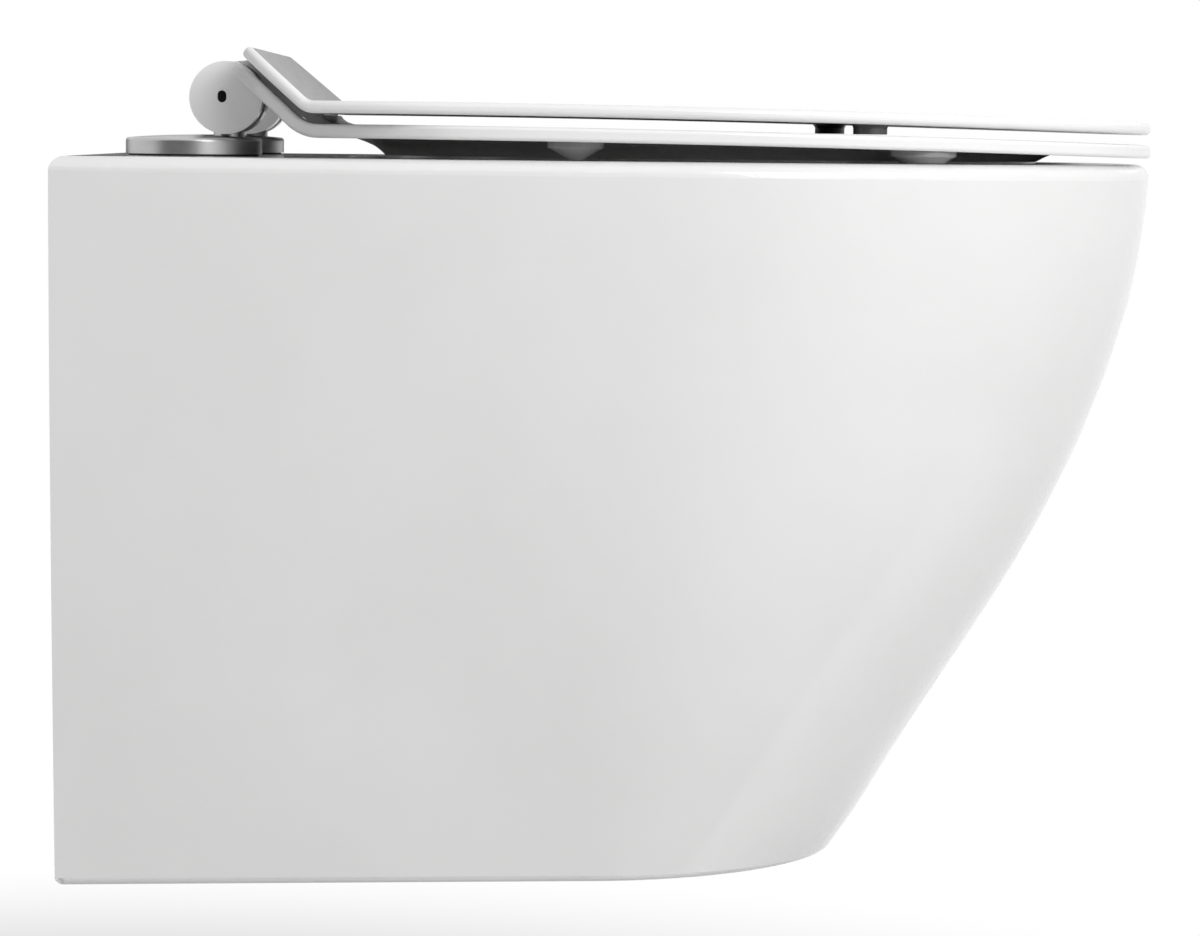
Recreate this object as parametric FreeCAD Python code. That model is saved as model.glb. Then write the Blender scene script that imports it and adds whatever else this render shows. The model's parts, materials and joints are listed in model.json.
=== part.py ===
import FreeCAD, Part
import math
import os

# A wall hung toilet with a slim seat and lid on a round hinge barrel.
# Frame: X across, -Y towards the front, +Z up. The wall is the plane Y = 0 and the
# origin is midway between the two wall fixings. In this script a point is given as
# (x, reach, rise): reach is the distance out from the wall, rise is the height over the rim.

Vector = FreeCAD.Vector

# ---- driving dimensions, mm ----
RIM_OVER_FIXINGS = 80.0
FIXING_SPACING = 180.0

# pan, outside
PAN_LENGTH = 500.0
PAN_WIDTH = 360.0
PAN_HEIGHT = 325.0
BASE_LENGTH = 353.5
BASE_WIDTH = 302.0
BASE_SHOULDER_WIDTH = 260.0
RIM_SHOULDER = 262.0
BASE_SHOULDER = 225.0
RIM_ROUNDNESS = 2.25
BASE_ROUNDNESS = 2.0
SWEEP_DROP = 200.0
SWEEP_SETBACK = 67.0
SWEEP_POWER = 1.8
FLANK_POWER = 1.4
RIM_EDGE_RADIUS = 6.5
BASE_EDGE_RADIUS = 4.0

# pan, inside
SKIN = 11.0
DECK_THICKNESS = 22.0
FLOOR_THICKNESS = 12.0
BOWL_REAR = 127.0
BOWL_FRONT = 461.0
BOWL_WIDTH = 282.0
BOWL_WALL = 10.0
BOWL_EDGE_RADIUS = 7.0
SUMP_DEPTH = 284.0
TRAP_RADIUS = 36.0
TRAP_WALL = 12.0
TRAP_SINK = 1.5
TRAP_CREST_DROP = 125.0
TRAP_CREST_RADIUS = 42.0
TRAP_FOOT_RADIUS = 45.0
TRAP_BACK = 140.0
TRAP_FRONT = 245.0
OUTLET_DROP = 180.0
SPIGOT_RADIUS = 51.0
SPIGOT_LENGTH = 22.0
INLET_DROP = 45.0
INLET_BORE_RADIUS = 27.5
INLET_SEAL_WALL = 4.5
INLET_SEAL_LENGTH = 22.0
INLET_SOCKET_LENGTH = 24.0
INLET_SOCKET_DRAFT = 0.8
INLET_HORN_WALL = 7.0
FLUSH_PASSAGE_RADIUS = 24.0
FIXING_WEB_HEIGHT = 46.0
FIXING_WEB_THICKNESS = 18.0
FIXING_HOLE_RADIUS = 11.0
FIXING_STUD_HOLE_RADIUS = 6.5
BUSH_FLANGE_RADIUS = 16.0
BUSH_FLANGE = 3.0

# hinge
HINGE_SPACING = 155.0
DISC_REACH = 54.7
DISC_RADIUS = 31.0
DISC_RISE = 9.6
DISC_CROWN = 1.5
DISC_EDGE_RADIUS = 1.6
DISC_SHELL = 1.6
GASKET_THICKNESS = 0.9
GASKET_RADIUS = 29.6
BARREL_REACH = 70.7
BARREL_RISE = 26.5
BARREL_RADIUS = 16.5
BARREL_LENGTH = 197.0
SEAT_LUG_LENGTH = 12.0
CORE_LENGTH = 17.0
LID_LUG_LENGTH = 17.0
LUG_GAP = 0.5
PIN_RADIUS = 5.0
DAMPER_RADIUS = 9.5
DAMPER_END_WALL = 2.5
RUNNING_CLEARANCE = 0.05
POST_RADIUS = 7.0
FOOT_CLEARANCE = 0.2
PIN_HOLE_WIDTH = 4.0
PIN_HOLE_HEIGHT = 5.4
PIN_HOLE_REACH = 69.0
PIN_HOLE_RISE = 27.0
BOLT_RADIUS = 4.0
BOLT_LENGTH = 46.0
BOLT_HEAD_RADIUS = 7.0
BOLT_HEAD = 3.6
HINGE_HOLE_RADIUS = 7.5
SLEEVE_LENGTH = 34.0
CLAMP_NUT_LENGTH = 9.0

# seat and lid
SEAT_WIDTH = 356.0
SEAT_FRONT = 500.0
SEAT_SHOULDER = 262.0
SEAT_THICKNESS = 6.2
SEAT_TOP = 15.0
LID_THICKNESS = 5.5
LID_GAP = 4.7
BEND_ANGLE = 41.0
BEND_RADIUS = 16.0
SLOPE_SINK = 0.6
LENGTHWISE_RADIUS = 12300.0
REAR_CORNER_REACH = 185.0
SEAT_TAIL = 7.0
LID_TAIL = 5.2
LID_REAR_WIDTH = 236.0
LID_REAR_END = 77.0
OPENING_REAR = 139.0
OPENING_FRONT = 447.0
OPENING_WIDTH = 236.0
OPENING_EDGE_RADIUS = 2.5
LIP_THICKNESS = 3.6
LIP_DEPTH = 6.0
SEAT_EDGE_RADIUS = 1.6
LID_EDGE_RADIUS = 2.2
NECK_CLEARANCE = 0.5
NECK_SLOPE_LENGTH = 24.0
SEAT_BUMPER_TIER = 2.6
LID_BUMPER_REACH = 358.5
LID_BUMPER_RADIUS = 7.5
LID_BUMPER_FLARE = 1.1
LID_BUMPER_INSET = 14.0
BUMPER_INSET = 20.0
BUMPER_SEATING = 0.3

# seat bumpers: reach, radius under the seat, radius of the foot
SEAT_BUMPERS = ((229.0, 12.5, 3.0), (383.0, 14.8, 10.0))

# one flank of the seat from the hinge lug to the widest part: half width, reach
SEAT_FLANK = (
    (98.5, 62.0), (98.5, 72.0), (100.2, 82.0), (107.0, 92.0), (120.0, 104.0),
    (137.0, 118.0), (153.0, 135.0), (166.0, 152.0), (174.5, 168.0),
)

# flare of the lip under the seat: rise, rear reach, front reach, growth at the flanks
LIP_FLARE = (
    (0.8, 139.0, 447.0, 0.0),
    (2.0, 137.9, 449.3, 1.0),
    (3.2, 136.5, 451.6, 2.3),
    (4.4, 135.0, 454.5, 3.8),
    (6.0, 132.1, 457.0, 6.0),
    (7.5, 128.1, 458.5, 8.5),
    (9.5, 123.0, 459.0, 11.0),
)

# ---- helpers ----
OUTLINE_TURNS = 6
BEHIND = 20.0


def at(x, reach, rise):
    return Vector(x, -reach, RIM_OVER_FIXINGS + rise)


def rod(start, end, radius):
    axis = end - start
    return Part.makeCylinder(radius, axis.Length, start, axis)


def tube(start, end, outer, inner):
    return rod(start, end, outer).cut(rod(start, end, inner))


def block(low, high):
    """Box between two (x, reach, rise) corners."""
    a = at(*low)
    b = at(*high)
    corner = Vector(min(a.x, b.x), min(a.y, b.y), min(a.z, b.z))
    return Part.makeBox(abs(a.x - b.x), abs(a.y - b.y), abs(a.z - b.z), corner)


def closed_loop(points, parameters=None):
    """Smooth open curve through the points, closed by a straight line."""
    curve = Part.BSplineCurve()
    if parameters:
        curve.interpolate(Points=points, Parameters=parameters)
    else:
        curve.interpolate(Points=points)
    return Part.Wire([curve.toShape(), Part.makeLine(points[-1], points[0])])


def oval(rear, front, half_width, rise, roundness=2.0):
    """Closed superellipse lying flat."""
    middle = (rear + front) / 2
    points = []
    count = 4 * OUTLINE_TURNS
    for i in range(count):
        a = 2 * math.pi * i / count
        c, s = math.cos(a), math.sin(a)
        x = math.copysign(abs(c) ** (2 / roundness), c) * half_width
        reach = middle + math.copysign(abs(s) ** (2 / roundness), s) * (front - rear) / 2
        points.append(at(x, reach, rise))
    curve = Part.BSplineCurve()
    curve.interpolate(Points=points, PeriodicFlag=True)
    return Part.Wire([curve.toShape()])


def save(name, shape):
    shape.exportStep("parts/%s.step" % name)
    print(name, "solids", len(shape.Solids), "valid", shape.isValid(), "volume %.0f" % shape.Volume)


# ---- pan ----
def nose_reach(drop):
    """How far the pan stands out at this depth under the rim."""
    if drop <= SWEEP_DROP:
        return PAN_LENGTH - SWEEP_SETBACK * (drop / SWEEP_DROP) ** SWEEP_POWER
    straight = (drop - SWEEP_DROP) / (PAN_HEIGHT - SWEEP_DROP)
    start = PAN_LENGTH - SWEEP_SETBACK
    return start + (BASE_LENGTH - start) * straight


def between(rim_value, base_value, drop, power=1.0):
    return rim_value + (base_value - rim_value) * (drop / PAN_HEIGHT) ** power


def pan_section(drop, inset=0.0):
    """Outline of the pan at a depth under the rim, from behind the wall round the nose."""
    back = between(PAN_WIDTH, BASE_WIDTH, drop, FLANK_POWER) / 2 - inset
    side = between(PAN_WIDTH, BASE_SHOULDER_WIDTH, drop, FLANK_POWER) / 2 - inset
    shoulder = between(RIM_SHOULDER, BASE_SHOULDER, drop)
    nose = nose_reach(drop) - inset
    power = 2 / between(RIM_ROUNDNESS, BASE_ROUNDNESS, drop)
    slope = (side - back) / shoulder
    half = []
    for reach in (-BEHIND, shoulder / 3, shoulder * 2 / 3):
        half.append((back + slope * reach, reach))
    for i in range(OUTLINE_TURNS + 1):
        a = math.pi / 2 * i / OUTLINE_TURNS
        x = side * math.cos(a) ** power if i < OUTLINE_TURNS else 0.0
        half.append((x, shoulder + (nose - shoulder) * math.sin(a) ** power))
    outline = half + [(-x, reach) for x, reach in reversed(half[:-1])]
    last = len(outline) - 1
    return closed_loop([at(x, reach, -drop) for x, reach in outline], [i / last for i in range(last + 1)])


def pan_loft(top, bottom, inset=0.0):
    drops = [top + (bottom - top) * i / 7 for i in range(8)]
    return Part.makeLoft([pan_section(drop, inset) for drop in drops], True, False)


def in_front_of_wall():
    wide = PAN_WIDTH
    return block((-wide, 0, -PAN_HEIGHT * 2), (wide, PAN_LENGTH * 2, PAN_HEIGHT))


def lies_at(edge, height):
    box = edge.BoundBox
    return abs(box.ZMin - height) < 0.01 and abs(box.ZMax - height) < 0.01


def pan_outside():
    body = pan_loft(0, PAN_HEIGHT).common(in_front_of_wall())
    base_edges = [edge for edge in body.Edges if lies_at(edge, RIM_OVER_FIXINGS - PAN_HEIGHT)]
    body = body.makeFillet(BASE_EDGE_RADIUS, base_edges)
    rim_edges = [edge for edge in body.Edges if lies_at(edge, RIM_OVER_FIXINGS)]
    return body.makeFillet(RIM_EDGE_RADIUS, rim_edges)


def bowl_loft(grow=0.0):
    """The bowl's hollow, or with grow the outside of its wall."""
    half = BOWL_WIDTH / 2
    length = BOWL_FRONT - BOWL_REAR
    rings = (
        (0.0, 0.0, 0.0, 1.0, 2.35),
        (0.17, 0.012, 0.02, 0.965, 2.3),
        (0.34, 0.075, 0.11, 0.83, 2.15),
        (0.55, 0.145, 0.27, 0.62, 2.0),
        (0.78, 0.17, 0.43, 0.43, 2.0),
        (1.0, 0.21, 0.56, 0.25, 2.0),
    )
    wires = []
    for depth, rear, front, width, roundness in rings:
        drop = SUMP_DEPTH * depth + (grow if depth == 1.0 else 0.0)
        wires.append(oval(BOWL_REAR + length * rear - grow, BOWL_FRONT - length * front + grow,
                          half * width + grow, -drop, roundness))
    return Part.makeLoft(wires, True, False)


def trap_path():
    """Centre line of the waterway in the plane x = 0, from the outlet to the sump."""
    rise_turn = math.radians(65.0)
    fall_turn = math.radians(75.0)
    first_radius = (OUTLET_DROP - TRAP_CREST_DROP) / (1 - math.cos(rise_turn)) - TRAP_CREST_RADIUS
    tunnel_drop = SUMP_DEPTH + TRAP_SINK - TRAP_RADIUS
    state = {"point": (0.0, -OUTLET_DROP), "heading": 0.0}
    edges = []

    def run(length):
        r, z = state["point"]
        h = state["heading"]
        end = (r + length * math.cos(h), z + length * math.sin(h))
        edges.append(Part.makeLine(at(0, r, z), at(0, *end)))
        state["point"] = end

    def turn(radius, angle):
        r, z = state["point"]
        h = state["heading"]
        side = math.copysign(1.0, angle)
        centre = (r - side * radius * math.sin(h), z + side * radius * math.cos(h))

        def on_arc(part):
            a = h + angle * part
            return (centre[0] + side * radius * math.sin(a), centre[1] - side * radius * math.cos(a))

        middle = on_arc(0.5)
        end = on_arc(1.0)
        edges.append(Part.Arc(at(0, r, z), at(0, *middle), at(0, *end)).toShape())
        state["point"] = end
        state["heading"] = h + angle

    run(4.0)
    turn(first_radius, rise_turn)
    turn(TRAP_CREST_RADIUS, -rise_turn - fall_turn)
    level_drop = TRAP_FOOT_RADIUS * (1 - math.cos(fall_turn))
    run((tunnel_drop + state["point"][1] - level_drop) / math.sin(fall_turn))
    turn(TRAP_FOOT_RADIUS, fall_turn)
    run(45.0)
    return Part.Wire(edges)


def trap_bore():
    path = trap_path()
    ring = Part.Wire([Part.makeCircle(TRAP_RADIUS, at(0, 0, -OUTLET_DROP), Vector(0, 1, 0))])
    bore = path.makePipeShell([ring], True, False)
    return bore.fuse(rod(at(0, -BEHIND, -OUTLET_DROP), at(0, 1, -OUTLET_DROP), TRAP_RADIUS))


def trap_housing():
    """Ceramic round the waterway, flat sided."""
    wall = TRAP_RADIUS + TRAP_WALL
    crest = -TRAP_CREST_DROP + wall
    shoulder = -OUTLET_DROP - 10
    floor = -SUMP_DEPTH - TRAP_WALL
    corners = (
        (SPIGOT_LENGTH, crest), (TRAP_BACK, crest), (TRAP_BACK + 50, shoulder),
        (TRAP_FRONT, shoulder - 15), (TRAP_FRONT, floor), (TRAP_BACK + 20, floor),
        (TRAP_BACK - 28, -OUTLET_DROP - wall), (SPIGOT_LENGTH, -OUTLET_DROP - wall),
    )
    points = [at(-wall, reach, rise) for reach, rise in corners]
    face = Part.Face(Part.makePolygon(points + points[:1]))
    return face.extrude(Vector(2 * wall, 0, 0))


def socket_plug(start, end, slack=0.0):
    """Slightly tapered plug that fills the inlet socket between two reaches."""
    radii = []
    for reach in (start, end):
        lost = INLET_SOCKET_DRAFT * reach / INLET_SOCKET_LENGTH
        radii.append(INLET_BORE_RADIUS + INLET_SEAL_WALL + INLET_SOCKET_DRAFT - lost - slack)
    return Part.makeCone(radii[0], radii[1], end - start, at(0, start, -INLET_DROP), Vector(0, -1, 0))


def is_bowl_edge(edge):
    box = edge.BoundBox
    return box.YMin > -BOWL_FRONT - 1 and box.YMax < -BOWL_REAR + 1


def make_pan():
    outside = pan_outside()
    wide = PAN_WIDTH
    hollow = pan_loft(DECK_THICKNESS, PAN_HEIGHT - FLOOR_THICKNESS, SKIN)
    horn_outer = INLET_BORE_RADIUS + INLET_SEAL_WALL + INLET_HORN_WALL
    horn = rod(at(0, -BEHIND, -INLET_DROP), at(0, BOWL_REAR + 10, -INLET_DROP), horn_outer)
    spigot = rod(at(0, -BEHIND, -OUTLET_DROP), at(0, SPIGOT_LENGTH, -OUTLET_DROP), SPIGOT_RADIUS)
    web_low = -RIM_OVER_FIXINGS - FIXING_WEB_HEIGHT / 2
    web = block((-wide, -BEHIND, web_low), (wide, FIXING_WEB_THICKNESS, web_low + FIXING_WEB_HEIGHT))
    for solid in (bowl_loft(BOWL_WALL), trap_housing(), horn, spigot, web):
        hollow = hollow.cut(solid)
    pan = outside.cut(hollow)
    pan = pan.cut(bowl_loft())
    pan = pan.cut(trap_bore())
    pan = pan.cut(socket_plug(-BEHIND, INLET_SOCKET_LENGTH))
    pan = pan.cut(rod(at(0, 0, -INLET_DROP), at(0, BOWL_REAR + 30, -INLET_DROP), FLUSH_PASSAGE_RADIUS))
    for side in (-1, 1):
        x = side * FIXING_SPACING / 2
        pan = pan.cut(rod(at(x, -BEHIND, -RIM_OVER_FIXINGS), at(x, BEHIND * 2, -RIM_OVER_FIXINGS),
                          FIXING_HOLE_RADIUS))
        x = side * HINGE_SPACING / 2
        pan = pan.cut(rod(at(x, DISC_REACH, 1), at(x, DISC_REACH, -DECK_THICKNESS - 1), HINGE_HOLE_RADIUS))
    lip = [edge for edge in pan.Edges if lies_at(edge, RIM_OVER_FIXINGS) and is_bowl_edge(edge)]
    return pan.makeFillet(BOWL_EDGE_RADIUS, lip)


def fixing_bush(side):
    """Flanged plastic bush in the fixing web, bored for the wall stud."""
    x = side * FIXING_SPACING / 2
    rise = -RIM_OVER_FIXINGS
    front = FIXING_WEB_THICKNESS
    body = rod(at(x, 0, rise), at(x, front + 1, rise), FIXING_HOLE_RADIUS - 0.05)
    flange = rod(at(x, front, rise), at(x, front + BUSH_FLANGE, rise), BUSH_FLANGE_RADIUS)
    hole = rod(at(x, -BEHIND, rise), at(x, front * 3, rise), FIXING_STUD_HOLE_RADIUS)
    return body.fuse(flange).cut(hole).removeSplitter()


def inlet_seal():
    """Lipped rubber ring in the inlet socket."""
    bore = rod(at(0, 0, -INLET_DROP), at(0, INLET_SOCKET_LENGTH, -INLET_DROP), INLET_BORE_RADIUS)
    return socket_plug(1, INLET_SEAL_LENGTH, 0.05).cut(bore)


def flush_diffuser():
    """Deflector in the flush passage that throws the water to both sides of the bowl."""
    mouth = BOWL_REAR - 6
    outer = FLUSH_PASSAGE_RADIUS - 0.1
    inner = outer - 2
    ring = tube(at(0, mouth - 22, -INLET_DROP), at(0, mouth, -INLET_DROP), outer, inner)
    plate = rod(at(0, mouth + 6, -INLET_DROP), at(0, mouth + 8, -INLET_DROP), inner - 2)
    arms = []
    for side in (-1, 1):
        near = side * (inner - 8)
        far = side * (inner + 0.5)
        arms.append(block((near, mouth - 12, -INLET_DROP - 2), (far, mouth + 7, -INLET_DROP + 2)))
    return ring.multiFuse([plate] + arms).removeSplitter()


# ---- hinges ----
def axis_point(x):
    return at(x, BARREL_REACH, BARREL_RISE)


LUG_OUTER = BARREL_LENGTH / 2
LUG_INNER = LUG_OUTER - SEAT_LUG_LENGTH
CORE_OUTER = LUG_INNER - LUG_GAP
CORE_INNER = CORE_OUTER - CORE_LENGTH
LID_LUG_OUTER = CORE_INNER - LUG_GAP
LID_LUG_INNER = LID_LUG_OUTER - LID_LUG_LENGTH
HINGE_X = HINGE_SPACING / 2
FOOT_RADIUS = DISC_RADIUS - DISC_SHELL - FOOT_CLEARANCE
FOOT_RISE = DISC_RISE - DISC_CROWN - DISC_SHELL + 0.2
POST_REACH = BARREL_REACH


def disc_gasket(side):
    x = side * HINGE_X
    ring = rod(at(x, DISC_REACH, 0), at(x, DISC_REACH, GASKET_THICKNESS), GASKET_RADIUS)
    return ring.cut(rod(at(x, DISC_REACH, -1), at(x, DISC_REACH, GASKET_THICKNESS + 1), BOLT_RADIUS + 0.3))


def hinge_disc(side):
    """Round metal cap with a slight crown, over the hinge's foot plate."""
    x = side * HINGE_X
    crown_radius = (DISC_RADIUS ** 2 + DISC_CROWN ** 2) / (2 * DISC_CROWN)
    ball = Part.makeSphere(crown_radius, at(x, DISC_REACH, DISC_RISE - crown_radius))
    cap = rod(at(x, DISC_REACH, GASKET_THICKNESS), at(x, DISC_REACH, DISC_RISE + 1), DISC_RADIUS).common(ball)
    shoulder = RIM_OVER_FIXINGS + DISC_RISE - DISC_CROWN
    rim = [edge for edge in cap.Edges if abs(edge.BoundBox.ZMin - shoulder) < 0.1 and edge.BoundBox.XLength > 1]
    cap = cap.makeFillet(DISC_EDGE_RADIUS, rim)
    inside = DISC_RISE - DISC_CROWN - DISC_SHELL + 0.4
    room = rod(at(x, DISC_REACH, 0), at(x, DISC_REACH, inside), DISC_RADIUS - DISC_SHELL)
    hole = rod(at(x, POST_REACH, 0), at(x, POST_REACH, DISC_RISE + 1), POST_RADIUS + 0.1)
    return cap.cut(room).cut(hole)


def hinge_foot(side):
    """Steel foot plate, counterbored for the bolt and bored for the post."""
    x = side * HINGE_X
    plate = rod(at(x, DISC_REACH, GASKET_THICKNESS), at(x, DISC_REACH, FOOT_RISE), FOOT_RADIUS)
    plate = plate.cut(rod(at(x, DISC_REACH, 0), at(x, DISC_REACH, FOOT_RISE + 1), BOLT_RADIUS + 0.2))
    head_floor = FOOT_RISE - BOLT_HEAD - 0.2
    plate = plate.cut(rod(at(x, DISC_REACH, head_floor), at(x, DISC_REACH, FOOT_RISE + 1), BOLT_HEAD_RADIUS + 0.2))
    return plate.cut(rod(at(x, POST_REACH, GASKET_THICKNESS + 1), at(x, POST_REACH, FOOT_RISE + 1), POST_RADIUS))


def hinge_post(side):
    """Upright pin on the foot plate that carries the hinge core."""
    x = side * HINGE_X
    top = BARREL_RISE - PIN_RADIUS - 1.5
    post = rod(at(x, POST_REACH, GASKET_THICKNESS + 1), at(x, POST_REACH, top), POST_RADIUS)
    crown = [edge for edge in post.Edges if edge.BoundBox.ZMin > RIM_OVER_FIXINGS + top - 0.01]
    return post.makeChamfer(0.8, crown)


def hinge_core(side):
    """Fixed middle part of the barrel over the post."""
    near = side * CORE_INNER
    far = side * CORE_OUTER
    core = rod(axis_point(near), axis_point(far), BARREL_RADIUS)
    core = core.makeChamfer(0.5, [edge for edge in core.Edges if edge.BoundBox.XLength < 0.01])
    x = side * HINGE_X
    top = BARREL_RISE - PIN_RADIUS - 1.4
    core = core.cut(rod(at(x, POST_REACH, 0), at(x, POST_REACH, top), POST_RADIUS + 0.02))
    return core.cut(rod(axis_point(near - side), axis_point(far + side), PIN_RADIUS))


def hinge_pin(side):
    """Shaft pressed through the core, one stub for the seat and one for the lid."""
    outer = LUG_OUTER - DAMPER_END_WALL - 0.5
    pin = rod(axis_point(side * (LID_LUG_INNER + DAMPER_END_WALL + 0.5)), axis_point(side * outer), PIN_RADIUS)
    return pin.makeChamfer(0.5, [edge for edge in pin.Edges if edge.BoundBox.XLength < 0.01])


def seat_bolt(side):
    x = side * HINGE_X
    seat = FOOT_RISE - BOLT_HEAD - 0.2
    shank = rod(at(x, DISC_REACH, seat + BOLT_HEAD - BOLT_LENGTH), at(x, DISC_REACH, seat + 0.5), BOLT_RADIUS)
    head = rod(at(x, DISC_REACH, seat), at(x, DISC_REACH, seat + BOLT_HEAD), BOLT_HEAD_RADIUS)
    socket = rod(at(x, DISC_REACH, seat + 1.2), at(x, DISC_REACH, seat + BOLT_HEAD + 1), 3.0)
    return shank.fuse(head).cut(socket)


def expansion_sleeve(side):
    """Rubber sleeve that the clamp nut swells against the deck's hole from above."""
    x = side * HINGE_X
    return tube(at(x, DISC_REACH, -SLEEVE_LENGTH), at(x, DISC_REACH, -0.2),
                HINGE_HOLE_RADIUS - 0.1, BOLT_RADIUS + 0.1)


def clamp_nut(side):
    x = side * HINGE_X
    top = -SLEEVE_LENGTH
    nut = Part.makeCone(HINGE_HOLE_RADIUS - 1.0, HINGE_HOLE_RADIUS + 1.0, CLAMP_NUT_LENGTH,
                        at(x, DISC_REACH, top - CLAMP_NUT_LENGTH), Vector(0, 0, 1))
    return nut.cut(rod(at(x, DISC_REACH, top - BEHIND), at(x, DISC_REACH, 0), BOLT_RADIUS))


# ---- seat and lid ----
TILT = math.radians(BEND_ANGLE)
NORMAL = (math.sin(TILT), math.cos(TILT))
DOWNHILL = (math.cos(TILT), -math.sin(TILT))


def slope_point(lift, along):
    """Point on the bent part: lift over the seat's top face, along measured down the slope."""
    out = BARREL_RADIUS - SLOPE_SINK + lift
    return (BARREL_REACH + out * NORMAL[0] + along * DOWNHILL[0],
            BARREL_RISE + out * NORMAL[1] + along * DOWNHILL[1])


def bend_centre():
    """Centre of the bend, from the seat's top face."""
    rise = SEAT_TOP + BEND_RADIUS
    top = slope_point(0, 0)
    reach = top[0] + (BEND_RADIUS - NORMAL[1] * (rise - top[1])) / NORMAL[0]
    return reach, rise


def sheet_line(lift, tail, front):
    """Edges of one face of the seat or lid, from its rear end to the front."""
    centre = bend_centre()
    radius = BEND_RADIUS - lift
    rear = slope_point(lift, -tail)
    bend_start = (centre[0] - radius * NORMAL[0], centre[1] - radius * NORMAL[1])
    bend_middle = (centre[0] - radius * math.sin(TILT / 2), centre[1] - radius * math.cos(TILT / 2))
    bend_end = (centre[0], centre[1] - radius)

    def droop(reach):
        run = reach - centre[0]
        big = LENGTHWISE_RADIUS + lift
        return (reach, bend_end[1] - big + math.sqrt(big * big - run * run))

    half_way = droop((centre[0] + front) / 2)
    tip = droop(front)
    return [
        Part.makeLine(at(0, *rear), at(0, *bend_start)),
        Part.Arc(at(0, *bend_start), at(0, *bend_middle), at(0, *bend_end)).toShape(),
        Part.Arc(at(0, *bend_end), at(0, *half_way), at(0, *tip)).toShape(),
    ]


def droop_at(lift, reach):
    run = reach - bend_centre()[0]
    big = LENGTHWISE_RADIUS + lift
    return SEAT_TOP + lift - big + math.sqrt(big * big - run * run)


def sheet(low, high, tail, width):
    """Bent plate between two lifts over the seat's top face."""
    front = SEAT_FRONT + BEHIND
    lower = sheet_line(low, tail, front)
    upper = sheet_line(high, tail, front)
    ends = [
        Part.makeLine(lower[0].Vertexes[0].Point, upper[0].Vertexes[0].Point),
        Part.makeLine(lower[2].Vertexes[-1].Point, upper[2].Vertexes[-1].Point),
    ]
    face = Part.Face(Part.Wire(Part.__sortEdges__(lower + upper + ends)))
    face.translate(Vector(-width, 0, 0))
    return face.extrude(Vector(2 * width, 0, 0))


def lid_flank():
    """Rounded rear corner of the lid as (half width, reach) points."""
    rear_half = LID_REAR_WIDTH / 2
    points = []
    for i in range(OUTLINE_TURNS):
        a = math.pi / 2 * (i / OUTLINE_TURNS)
        x = rear_half + (SEAT_WIDTH / 2 - rear_half) * math.sin(a)
        points.append((x, REAR_CORNER_REACH - (REAR_CORNER_REACH - LID_REAR_END) * math.cos(a)))
    return points


def plan_outline(flank):
    """Plan of the seat or lid: the given rear flank, straight sides and a round nose."""
    side = SEAT_WIDTH / 2
    power = 2 / RIM_ROUNDNESS
    half = list(flank) + [(side, REAR_CORNER_REACH)]
    for i in range(OUTLINE_TURNS + 1):
        a = math.pi / 2 * i / OUTLINE_TURNS
        x = side * math.cos(a) ** power if i < OUTLINE_TURNS else 0.0
        half.append((x, SEAT_SHOULDER + (SEAT_FRONT - SEAT_SHOULDER) * math.sin(a) ** power))
    outline = half + [(-x, reach) for x, reach in reversed(half[:-1])]
    wire = closed_loop([at(x, reach, -BEHIND) for x, reach in outline])
    return Part.Face(wire).extrude(Vector(0, 0, BEHIND * 5))


def outline_edges(plate):
    """Edges of a bent plate that run round its outline, where the top and bottom faces end."""
    found = []
    for edge in plate.Edges:
        box = edge.BoundBox
        wide = box.XLength > 1 or box.YLength > 1
        if wide and not (box.XLength > 1 and box.YLength < 0.01 and box.ZLength < 0.01):
            found.append(edge)
    return found


def rear_edges(plate):
    """The two long edges of a bent plate's rear end."""
    found = []
    for edge in plate.Edges:
        box = edge.BoundBox
        if box.XLength > 1 and box.YLength < 0.01 and box.YMin > -LID_REAR_END - 10:
            found.append(edge)
    return found


def opening_prism(grow, low, high):
    ring = oval(OPENING_REAR - grow, OPENING_FRONT + grow, OPENING_WIDTH / 2 + grow, low, RIM_ROUNDNESS)
    return Part.Face(ring).extrude(Vector(0, 0, high - low))


def lug(side, near, far):
    return rod(axis_point(side * near), axis_point(side * far), BARREL_RADIUS)


def damper_room(side, near, far):
    return rod(axis_point(side * near), axis_point(side * far), DAMPER_RADIUS)


def pin_hole(side):
    """Small upright oval hole in the lug's end face."""
    half = PIN_HOLE_WIDTH / 2
    straight = (PIN_HOLE_HEIGHT - PIN_HOLE_WIDTH) / 2
    inner = side * (LUG_OUTER - DAMPER_END_WALL - 1)
    outer = side * (LUG_OUTER + 1)
    hole = block((inner, PIN_HOLE_REACH - half, PIN_HOLE_RISE - straight),
                 (outer, PIN_HOLE_REACH + half, PIN_HOLE_RISE + straight))
    for rise in (PIN_HOLE_RISE - straight, PIN_HOLE_RISE + straight):
        hole = hole.fuse(rod(at(inner, PIN_HOLE_REACH, rise), at(outer, PIN_HOLE_REACH, rise), half))
    return hole


def seat_lip():
    """Lip round the seat's opening that hangs into the bowl and flares into the underside."""
    rings = []
    for rise, rear, front, growth in LIP_FLARE:
        rings.append(oval(rear, front, OPENING_WIDTH / 2 + growth, rise, RIM_ROUNDNESS))
    flare = Part.makeLoft(rings, True, False)
    lip = opening_prism(0, -LIP_DEPTH, SEAT_TOP - 2).fuse(flare)
    lip = lip.cut(opening_prism(-LIP_THICKNESS, -BEHIND, BEHIND * 2))
    return lip.common(sheet(-BEHIND * 3, -SEAT_THICKNESS / 2, SEAT_TAIL, SEAT_WIDTH))


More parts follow.
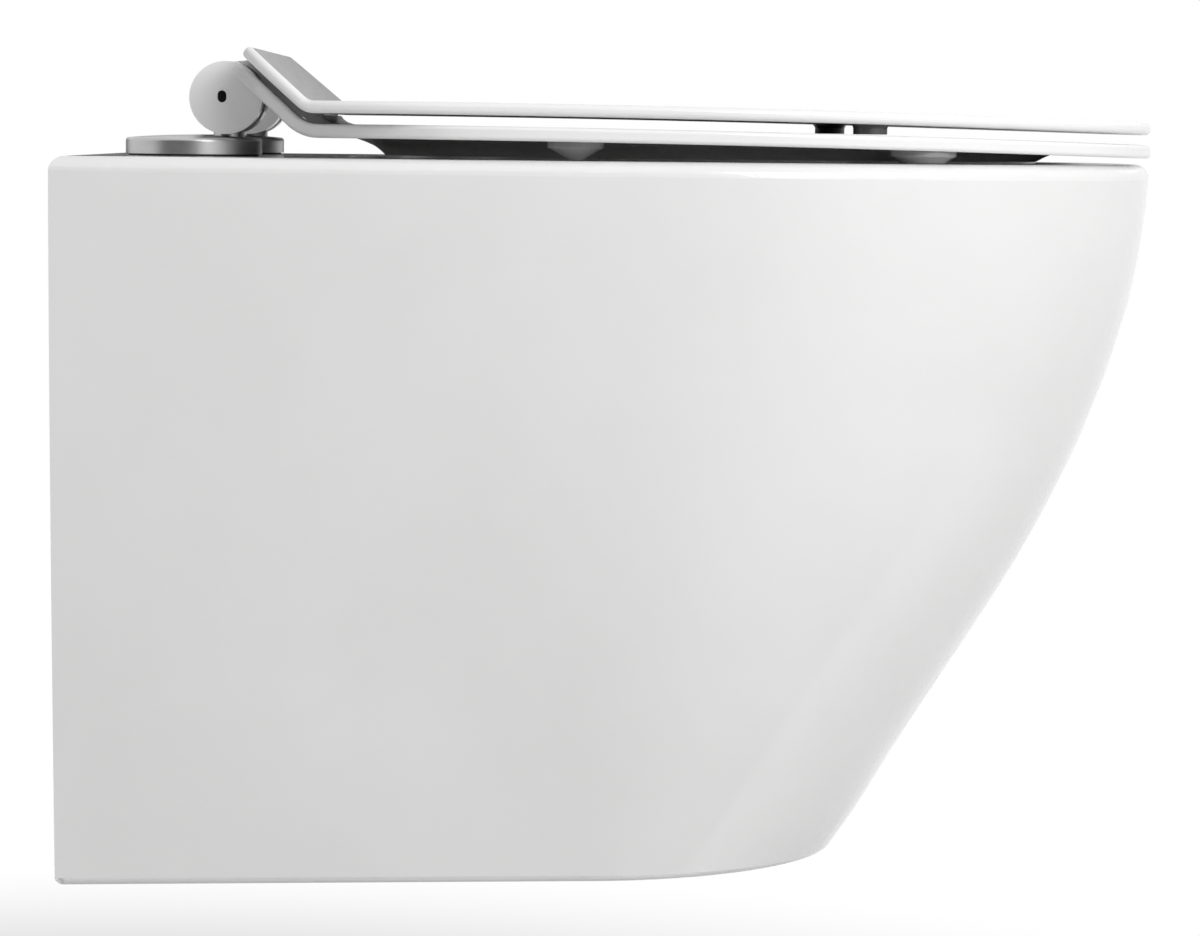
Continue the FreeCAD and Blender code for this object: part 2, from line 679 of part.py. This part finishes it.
def seat_upstand():
    """Low hollow-faced ridge on the seat's rear edge that closes the gap under the lid."""
    rear = bend_centre()[0] - 0.8
    profile = (
        (rear, SEAT_TOP - 1), (rear, SEAT_TOP + LID_GAP - NECK_CLEARANCE), (rear + 1.3, SEAT_TOP + 2.6),
        (rear + 3.3, SEAT_TOP + 1.2), (rear + 5.5, SEAT_TOP + 0.4), (rear + 8.0, SEAT_TOP - 0.1),
        (rear + 8.0, SEAT_TOP - 1),
    )
    points = [at(-LUG_INNER, reach, rise) for reach, rise in profile]
    return Part.Face(Part.makePolygon(points + points[:1])).extrude(Vector(2 * LUG_INNER, 0, 0))


def make_seat():
    plate = sheet(-SEAT_THICKNESS, 0.0, SEAT_TAIL, SEAT_WIDTH)
    plate = plate.common(plan_outline(SEAT_FLANK))
    plate = plate.makeFillet(SEAT_EDGE_RADIUS, outline_edges(plate))
    centre_cut = block((-LUG_INNER, 0, -BEHIND), (LUG_INNER, bend_centre()[0] - 1, BEHIND * 4))
    plate = plate.cut(centre_cut)
    plate = plate.cut(opening_prism(-LIP_THICKNESS, -BEHIND, BEHIND * 2))
    underside = RIM_OVER_FIXINGS + SEAT_TOP - SEAT_THICKNESS
    opening_top = [edge for edge in plate.Edges if is_bowl_edge(edge) and edge.BoundBox.ZMin > underside]
    plate = plate.makeFillet(OPENING_EDGE_RADIUS, opening_top)
    seat = plate.fuse(seat_lip()).fuse(seat_upstand())
    for side in (-1, 1):
        seat = seat.fuse(lug(side, LUG_INNER, LUG_OUTER))
    for side in (-1, 1):
        seat = seat.cut(damper_room(side, LUG_INNER - 1, LUG_OUTER - DAMPER_END_WALL))
        seat = seat.cut(pin_hole(side))
    return seat.removeSplitter()


def lid_neck(side):
    """Web that carries the lid on its lug."""
    arm_end = bend_centre()[0] - 1 - NECK_CLEARANCE
    profile = (
        (BARREL_REACH, BARREL_RISE + BARREL_RADIUS - 0.05),
        slope_point(LID_GAP + 1, 0.2 - LID_TAIL / 2),
        slope_point(LID_GAP + 1, NECK_SLOPE_LENGTH),
        (arm_end, SEAT_TOP + LID_GAP + 1),
        (arm_end, SEAT_TOP + NECK_CLEARANCE),
        (arm_end - 1, SEAT_TOP - 1),
        slope_point(-2, NECK_SLOPE_LENGTH),
        slope_point(-BARREL_RADIUS / 2, 0),
    )
    points = [at(side * LID_LUG_INNER, reach, rise) for reach, rise in profile]
    face = Part.Face(Part.makePolygon(points + points[:1]))
    return face.extrude(Vector(side * LID_LUG_LENGTH, 0, 0))


def make_lid():
    plate = sheet(LID_GAP, LID_GAP + LID_THICKNESS, LID_TAIL, SEAT_WIDTH)
    lid = plate.common(plan_outline(lid_flank()))
    lid = lid.makeFillet(LID_EDGE_RADIUS, outline_edges(lid) + rear_edges(lid))
    for side in (-1, 1):
        lid = lid.fuse(lug(side, LID_LUG_INNER, LID_LUG_OUTER)).fuse(lid_neck(side))
    for side in (-1, 1):
        lid = lid.cut(damper_room(side, LID_LUG_INNER + DAMPER_END_WALL, LID_LUG_OUTER + 1))
    return lid.removeSplitter()


def half_width_at(reach):
    """Half the rim's width at this distance from the wall."""
    if reach <= RIM_SHOULDER:
        return PAN_WIDTH / 2
    part = (reach - RIM_SHOULDER) / (PAN_LENGTH - RIM_SHOULDER)
    return PAN_WIDTH / 2 * (1 - part ** RIM_ROUNDNESS) ** (1 / RIM_ROUNDNESS)


def seat_bumper(x, reach, radius, foot):
    """Rubber pad under the seat: a flat tier narrowing to a foot on the rim."""
    top = SEAT_TOP
    tier = droop_at(-SEAT_THICKNESS, reach) - SEAT_BUMPER_TIER
    profile = (
        (0, top), (radius, top), (radius, tier), (radius - 2, tier - 0.8), (foot, BUMPER_SEATING),
        (0, BUMPER_SEATING),
    )
    return turned(x, reach, profile).common(sheet(-BEHIND * 3, -SEAT_THICKNESS, 0, SEAT_WIDTH))


def lid_bumper(x, reach):
    """Rubber pad under the lid, flared where it meets the lid."""
    lid_face = droop_at(LID_GAP, reach)
    seat_face = droop_at(0, reach) + BUMPER_SEATING
    wide = LID_BUMPER_RADIUS + LID_BUMPER_FLARE
    profile = (
        (0, lid_face + 1), (wide, lid_face + 1), (wide, lid_face - 0.1), (wide - 0.8, lid_face - 0.8),
        (LID_BUMPER_RADIUS, lid_face - 1.8), (LID_BUMPER_RADIUS, seat_face), (0, seat_face),
    )
    return turned(x, reach, profile).common(sheet(-BEHIND, LID_GAP, 0, SEAT_WIDTH))


def turned(x, reach, profile):
    """Solid turned about an upright line from (radius, rise) points."""
    points = [at(x + radius, reach, rise) for radius, rise in profile]
    face = Part.Face(Part.makePolygon(points + points[:1]))
    return face.revolve(at(x, reach, 0), Vector(0, 0, 1), 360)


def seat_bumpers():
    pads = []
    for reach, radius, foot in SEAT_BUMPERS:
        for side in (-1, 1):
            x = side * (half_width_at(reach) - BUMPER_INSET)
            pads.append(seat_bumper(x, reach, radius, foot))
    return Part.makeCompound(pads)


def lid_bumpers():
    x = half_width_at(LID_BUMPER_REACH) - LID_BUMPER_INSET
    return Part.makeCompound([lid_bumper(side * x, LID_BUMPER_REACH) for side in (-1, 1)])


def damper(side, near, far):
    """Soft-close barrel that turns with its lug round the pin."""
    return tube(axis_point(side * near), axis_point(side * far), DAMPER_RADIUS - 0.02,
                PIN_RADIUS + RUNNING_CLEARANCE)


os.makedirs("parts", exist_ok=True)
save("pan", make_pan())
save("wall_fixing_bushes", Part.makeCompound([fixing_bush(side) for side in (-1, 1)]))
save("inlet_seal", inlet_seal())
save("flush_diffuser", flush_diffuser())
save("seat", make_seat())
save("lid", make_lid())
save("seat_bumpers", seat_bumpers())
save("lid_bumpers", lid_bumpers())
for side, word in ((-1, "left"), (1, "right")):
    save("disc_gasket_" + word, disc_gasket(side))
    save("hinge_disc_" + word, hinge_disc(side))
    save("hinge_foot_" + word, hinge_foot(side))
    save("hinge_post_" + word, hinge_post(side))
    save("hinge_core_" + word, hinge_core(side))
    save("hinge_pin_" + word, hinge_pin(side))
    save("seat_bolt_" + word, seat_bolt(side))
    save("expansion_sleeve_" + word, expansion_sleeve(side))
    save("clamp_nut_" + word, clamp_nut(side))
    save("seat_damper_" + word, damper(side, LUG_INNER + 0.1, LUG_OUTER - DAMPER_END_WALL - 0.1))
    save("lid_damper_" + word, damper(side, LID_LUG_INNER + DAMPER_END_WALL + 0.1, LID_LUG_OUTER - 0.1))
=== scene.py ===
import json
import math
import bpy
from mathutils import Matrix, Vector


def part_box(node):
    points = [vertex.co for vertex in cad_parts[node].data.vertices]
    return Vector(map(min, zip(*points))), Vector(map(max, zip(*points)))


# A wall hung toilet in white glazed ceramic, with a slim white seat and lid on metal hinges.
# Frame: X across, -Y to the front, +Z up, metres. The wall is the plane Y = 0.
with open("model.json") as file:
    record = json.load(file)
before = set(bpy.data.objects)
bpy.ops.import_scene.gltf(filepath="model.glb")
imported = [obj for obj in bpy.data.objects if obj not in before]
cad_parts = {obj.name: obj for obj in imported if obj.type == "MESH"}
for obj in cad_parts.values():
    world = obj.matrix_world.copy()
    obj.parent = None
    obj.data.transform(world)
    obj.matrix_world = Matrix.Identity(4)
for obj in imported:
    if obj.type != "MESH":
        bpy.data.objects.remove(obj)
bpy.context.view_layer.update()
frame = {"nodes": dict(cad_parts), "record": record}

# ---- photograph's view: metres, radians and the photo's pixels ----
PHOTO_WIDTH = 1200.0
FOCAL_PIXELS = 4456.0
SENSOR_MM = 36.0
CAMERA_AT = Vector((-2.12, -0.2279, 0.0939))
CAMERA_TURN = 0.00677
CAMERA_DOWN = 0.07585
CAMERA_ROLL = 0.01039

# ---- studio sizes: metres ----
FLOOR_Z = -0.40
FLOOR_SIZE = 30.0
SHADOW_RADIUS = 0.35
WHITE_RADIUS = 0.85
FLOOR_COLOUR = 0.6
FLOOR_LIT_SHARE = 0.5
WORLD_LIGHT = 0.48
WHITE_LIGHT = 1.0
LAMP_TARGET = Vector((0.0, -0.25, -0.08))

# Dark cards: their light, how far the low one clears the floor, and where along their own
# unit length they turn from white at the front to dark.
DARK_CARD_LIGHT = 0.05
DARK_CARD_LIFT = 0.01
DARK_CARD_FRONT = -0.5
DARK_CARD_FADE = -0.25

# ---- finishes ----
DISC_GREY = 0.52
DISC_ROUGHNESS = 0.3
TURNING_MARKS_PER_METRE = 2600.0
BRUSH_LINES_PER_METRE = 2600.0
BRUSH_LINES_ALONG = 40.0


# ---- node helpers ----
class Shader:
    """A material whose principled shader is fed by small texture chains in row coordinates."""

    def __init__(self, name, roughness, metallic=0.0, **sockets):
        self.material = bpy.data.materials.new(name)
        self.material.use_nodes = True
        self.tree = self.material.node_tree
        self.principled = self.tree.nodes["Principled BSDF"]
        self.principled.inputs["Roughness"].default_value = roughness
        self.principled.inputs["Metallic"].default_value = metallic
        for socket, value in sockets.items():
            self.principled.inputs[socket.replace("_", " ")].default_value = value
        self.place = self.tree.nodes.new("ShaderNodeTexCoord").outputs["Object"]

    def node(self, kind, **inputs):
        made = self.tree.nodes.new(kind)
        for name, value in inputs.items():
            self.feed(made.inputs[name.replace("_", " ")], value)
        return made

    def feed(self, socket, value):
        if isinstance(value, bpy.types.NodeSocket):
            self.tree.links.new(value, socket)
        else:
            socket.default_value = value

    def math(self, operation, a, b=0.0):
        made = self.tree.nodes.new("ShaderNodeMath")
        made.operation = operation
        self.feed(made.inputs[0], a)
        self.feed(made.inputs[1], b)
        return made.outputs[0]

    def noise(self, per_metre, detail=2.0, place=None):
        made = self.node("ShaderNodeTexNoise", Vector=place or self.place, Scale=per_metre, Detail=detail)
        return made.outputs["Fac"]

    def span(self, value, low, high, out_low=0.0, out_high=1.0):
        made = self.node("ShaderNodeMapRange", Value=value)
        for index, edge in enumerate((low, high, out_low, out_high)):
            made.inputs[index + 1].default_value = edge
        return made.outputs["Result"]

    def mix(self, amount, first, second):
        made = self.tree.nodes.new("ShaderNodeMix")
        made.data_type = "RGBA"
        self.feed(made.inputs[0], amount)
        self.feed(made.inputs[6], first)
        self.feed(made.inputs[7], second)
        return made.outputs[2]

    def stretched(self, x, y, z):
        made = self.node("ShaderNodeMapping", Vector=self.place)
        made.inputs["Scale"].default_value = (x, y, z)
        return made.outputs["Vector"]

    def colour(self, value):
        self.feed(self.principled.inputs["Base Color"], value)

    def roughness(self, value):
        self.feed(self.principled.inputs["Roughness"], value)

    def bump(self, *layers):
        """Each layer is (height, depth in metres)."""
        normal = None
        for height, depth in layers:
            made = self.node("ShaderNodeBump", Height=height)
            made.inputs["Distance"].default_value = depth
            made.inputs["Strength"].default_value = 1.0
            if normal:
                self.feed(made.inputs["Normal"], normal)
            normal = made.outputs["Normal"]
        self.feed(self.principled.inputs["Normal"], normal)


def grey(level, warmth=0.0):
    return (level + warmth, level, level - warmth, 1.0)


# ---- materials ----
def glazed_ceramic():
    s = Shader("glazed_ceramic", 0.1, Coat_Weight=0.35, Coat_Roughness=0.03)
    body = s.mix(s.span(s.noise(7.0, 3.0), 0.35, 0.65), grey(0.80, 0.002), grey(0.835, 0.001))
    s.colour(body)
    s.roughness(s.span(s.noise(40.0, 4.0), 0.3, 0.7, 0.10, 0.16))
    s.bump((s.noise(16.0, 1.0), 0.00012), (s.noise(420.0, 2.0), 0.000008))
    return s.material


def seat_plastic():
    s = Shader("seat_plastic", 0.2, Coat_Weight=0.25, Coat_Roughness=0.08)
    s.colour(s.mix(s.noise(11.0, 2.0), grey(0.83), grey(0.86)))
    s.roughness(s.span(s.noise(300.0, 3.0), 0.3, 0.7, 0.17, 0.24))
    s.bump((s.noise(900.0, 2.0), 0.00001))
    return s.material


def ring_marks(s, centre, per_metre):
    """Turning marks: noise that changes only with the distance from an upright centre line."""
    offset = s.node("ShaderNodeVectorMath", Vector=s.place)
    offset.operation = "SUBTRACT"
    offset.inputs[1].default_value = centre
    flat = s.node("ShaderNodeVectorMath")
    flat.operation = "MULTIPLY"
    s.feed(flat.inputs[0], offset.outputs[0])
    flat.inputs[1].default_value = (1.0, 1.0, 0.0)
    length = s.node("ShaderNodeVectorMath")
    length.operation = "LENGTH"
    s.feed(length.inputs[0], flat.outputs[0])
    marks = s.tree.nodes.new("ShaderNodeTexNoise")
    marks.noise_dimensions = "1D"
    s.feed(marks.inputs["W"], s.math("MULTIPLY", length.outputs["Value"], per_metre))
    marks.inputs["Scale"].default_value = 1.0
    marks.inputs["Detail"].default_value = 3.0
    return marks.outputs["Fac"]


def turned_metal(name, level, roughness, centre):
    s = Shader(name, roughness, 1.0)
    marks = ring_marks(s, centre, TURNING_MARKS_PER_METRE)
    s.colour(s.mix(marks, grey(level * 0.9), grey(level)))
    s.roughness(s.span(marks, 0.3, 0.7, roughness * 0.8, roughness * 1.25))
    s.bump((marks, 0.000012))
    return s.material


def brushed_metal(name, level, roughness, warmth=0.0):
    s = Shader(name, roughness, 1.0)
    across = BRUSH_LINES_PER_METRE
    lines = s.noise(1.0, 4.0, s.stretched(BRUSH_LINES_ALONG, across, across))
    s.colour(s.mix(lines, grey(level * 0.88, warmth), grey(level, warmth)))
    s.roughness(s.span(lines, 0.3, 0.7, roughness * 0.8, roughness * 1.25))
    s.bump((lines, 0.00001))
    return s.material


def black_rubber():
    s = Shader("black_rubber", 0.6)
    s.colour(s.mix(s.noise(90.0, 3.0), grey(0.018), grey(0.03)))
    s.bump((s.noise(1500.0, 2.0), 0.00002))
    return s.material


def clear_rubber(name, level, clearness):
    s = Shader(name, 0.35, Transmission_Weight=clearness)
    s.colour(s.mix(s.noise(160.0, 2.0), grey(level * 0.9, 0.001), grey(level, 0.001)))
    s.bump((s.noise(1200.0, 2.0), 0.00002))
    return s.material


def moulded_plastic():
    s = Shader("moulded_plastic", 0.45)
    s.colour(s.mix(s.noise(60.0, 2.0), grey(0.60), grey(0.66)))
    s.bump((s.noise(1800.0, 2.0), 0.00001))
    return s.material


def disc_centre(node):
    low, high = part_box(node)
    return ((low[0] + high[0]) / 2, (low[1] + high[1]) / 2, 0.0)


def dress_nodes():
    by_slot = {
        "glazed_ceramic": glazed_ceramic(),
        "seat_plastic": seat_plastic(),
        "steel": brushed_metal("steel", 0.55, 0.3),
        # satin_metal: the hinge cores get a near-black base, darker than their satin chrome: painted
        # shade for the dark band between the hinge lugs.
        "satin_metal": brushed_metal("satin_metal", 0.08, 0.5),
        "brass": brushed_metal("brass", 0.55, 0.3, 0.12),
        "black_rubber": black_rubber(),
        "clear_rubber": clear_rubber("clear_rubber", 0.5, 0.5),
        "moulded_plastic": moulded_plastic(),
    }
    # Hinge pins and dampers are made near black: painted shade in the hole at the hinge's end.
    hole_shade_metal = brushed_metal("hole_shade_steel", 0.03, 0.5)
    # The lid bumpers get a dark, nearly opaque version of the clear rubber.
    dark_lid_bumpers = clear_rubber("dark_lid_bumper_rubber", 0.06, 0.1)
    slots = {part["node"]: part["material_slot"] for part in frame["record"]["subparts"]}
    for name, node in frame["nodes"].items():
        if slots[name] == "polished_metal":
            finish = turned_metal("turned_" + name, DISC_GREY, DISC_ROUGHNESS, disc_centre(name))
        elif name == "lid_bumpers":
            finish = dark_lid_bumpers
        # Painted shade: hinge pins and dampers near black, so the hinge's end hole reads dark.
        elif name.startswith("hinge_pin") or "damper" in name:
            finish = hole_shade_metal
        else:
            finish = by_slot[slots[name]]
        node.data.materials.clear()
        node.data.materials.append(finish)


# ---- studio ----
def white_to_camera(tree, lit, white):
    """Mixes lit and white shaders, showing white to camera, mirror and glass rays."""
    path = tree.nodes.new("ShaderNodeLightPath")
    seen = path.outputs["Is Camera Ray"]
    for other in ("Is Glossy Ray", "Is Transmission Ray"):
        most = tree.nodes.new("ShaderNodeMath")
        most.operation = "MAXIMUM"
        tree.links.new(seen, most.inputs[0])
        tree.links.new(path.outputs[other], most.inputs[1])
        seen = most.outputs[0]
    mix = tree.nodes.new("ShaderNodeMixShader")
    tree.links.new(seen, mix.inputs[0])
    tree.links.new(lit, mix.inputs[1])
    tree.links.new(white, mix.inputs[2])
    return mix.outputs[0]


def studio_world():
    world = bpy.data.worlds.new("studio")
    bpy.context.scene.world = world
    world.use_nodes = True
    tree = world.node_tree
    tree.nodes.clear()
    lit = tree.nodes.new("ShaderNodeBackground")
    lit.inputs["Color"].default_value = grey(1.0)
    lit.inputs["Strength"].default_value = WORLD_LIGHT
    white = tree.nodes.new("ShaderNodeBackground")
    white.inputs["Color"].default_value = grey(1.0)
    white.inputs["Strength"].default_value = WHITE_LIGHT
    out = tree.nodes.new("ShaderNodeOutputWorld")
    tree.links.new(white_to_camera(tree, lit.outputs[0], white.outputs[0]), out.inputs["Surface"])


def stage_plane(name, size, place):
    bpy.ops.mesh.primitive_plane_add(size=size, location=place)
    plane = bpy.context.object
    plane.name = name
    material = bpy.data.materials.new(name)
    material.use_nodes = True
    material.node_tree.nodes.clear()
    plane.data.materials.append(material)
    return plane, material.node_tree


def floor():
    """Pale floor that keeps the shadow under the pan and turns white further out."""
    plane, tree = stage_plane("floor", FLOOR_SIZE, (0.0, 0.0, FLOOR_Z))
    lit = tree.nodes.new("ShaderNodeBsdfDiffuse")
    lit.inputs["Color"].default_value = grey(FLOOR_COLOUR)
    glow = tree.nodes.new("ShaderNodeEmission")
    glow.inputs["Color"].default_value = grey(1.0)
    place = tree.nodes.new("ShaderNodeTexCoord")
    distance = tree.nodes.new("ShaderNodeVectorMath")
    distance.operation = "LENGTH"
    tree.links.new(place.outputs["Object"], distance.inputs[0])
    share = tree.nodes.new("ShaderNodeMapRange")
    share.interpolation_type = "SMOOTHSTEP"
    tree.links.new(distance.outputs["Value"], share.inputs["Value"])
    for index, edge in enumerate((SHADOW_RADIUS, WHITE_RADIUS, 1.0 - FLOOR_LIT_SHARE, 1.0)):
        share.inputs[index + 1].default_value = edge
    shown = tree.nodes.new("ShaderNodeMixShader")
    tree.links.new(share.outputs["Result"], shown.inputs[0])
    tree.links.new(lit.outputs[0], shown.inputs[1])
    tree.links.new(glow.outputs[0], shown.inputs[2])
    out = tree.nodes.new("ShaderNodeOutputMaterial")
    tree.links.new(white_to_camera(tree, lit.outputs[0], shown.outputs[0]), out.inputs["Surface"])


def dark_card(name, place, tilt, scale):
    """A dark sheet of the unlit studio, seen only in mirror-like surfaces, where it is a painted dark
    reflection: it sheds no light and casts no shadow.

    It brightens to white towards the front, so that no edge of it shows in the glaze.
    """
    plane, tree = stage_plane(name, 1.0, place)
    plane.rotation_euler = (0.0, tilt, 0.0)
    plane.scale = scale
    plane.visible_camera = False
    plane.visible_diffuse = False
    plane.visible_transmission = False
    plane.visible_shadow = False
    glow = tree.nodes.new("ShaderNodeEmission")
    glow.inputs["Color"].default_value = grey(1.0)
    across = tree.nodes.new("ShaderNodeSeparateXYZ")
    tree.links.new(tree.nodes.new("ShaderNodeTexCoord").outputs["Object"], across.inputs[0])
    level = tree.nodes.new("ShaderNodeMapRange")
    level.interpolation_type = "SMOOTHSTEP"
    tree.links.new(across.outputs["Y"], level.inputs["Value"])
    for index, edge in enumerate((DARK_CARD_FRONT, DARK_CARD_FADE, WHITE_LIGHT, DARK_CARD_LIGHT)):
        level.inputs[index + 1].default_value = edge
    tree.links.new(level.outputs["Result"], glow.inputs["Strength"])
    out = tree.nodes.new("ShaderNodeOutputMaterial")
    tree.links.new(glow.outputs[0], out.inputs["Surface"])


def lamp(name, place, power, width, height):
    """A rectangular lamp that faces the pan; power in watts."""
    data = bpy.data.lights.new(name, "AREA")
    data.shape = "RECTANGLE"
    data.size = width
    data.size_y = height
    data.energy = power
    obj = bpy.data.objects.new(name, data)
    bpy.context.scene.collection.objects.link(obj)
    obj.location = place
    obj.rotation_euler = (LAMP_TARGET - Vector(place)).to_track_quat("-Z", "Y").to_euler()


def camera():
    """The photograph's camera: level along +X, then turned, tipped down and rolled."""
    ahead = Vector((math.cos(CAMERA_TURN), -math.sin(CAMERA_TURN), 0.0))
    right = Vector((-math.sin(CAMERA_TURN), -math.cos(CAMERA_TURN), 0.0))
    up = Vector((0.0, 0.0, 1.0))
    down = Matrix.Rotation(-CAMERA_DOWN, 3, right)
    ahead = down @ ahead
    up = down @ up
    roll = Matrix.Rotation(-CAMERA_ROLL, 3, ahead)
    right = roll @ right
    up = roll @ up
    data = bpy.data.cameras.new("photo_camera")
    data.sensor_width = SENSOR_MM
    data.lens = SENSOR_MM * FOCAL_PIXELS / PHOTO_WIDTH
    obj = bpy.data.objects.new("photo_camera", data)
    bpy.context.scene.collection.objects.link(obj)
    turn = Matrix((right, up, -ahead)).transposed()
    obj.matrix_world = Matrix.Translation(CAMERA_AT) @ turn.to_4x4()
    bpy.context.scene.camera = obj


dress_nodes()
studio_world()
floor()
dark_card("dark_card_back", (-2.6, 1.25, 0.3), math.pi / 2, (2.4, 5.3, 1.0))
dark_card("dark_card_low", (-1.4, 1.25, FLOOR_Z + DARK_CARD_LIFT), 0.0, (2.4, 5.3, 1.0))
dark_card("dark_card_far", (1.5, 0.3, 0.2), math.pi / 2, (0.36, 2.4, 1.0))
lamp("key", (-1.5, -1.25, 0.95), 27.0, 1.4, 0.8)
lamp("top", (0.0, -0.3, 1.9), 1.0, 1.6, 1.6)
lamp("far", (1.9, -1.3, 1.3), 2.0, 1.4, 1.4)
camera()
bpy.context.scene.view_settings.view_transform = "Standard"
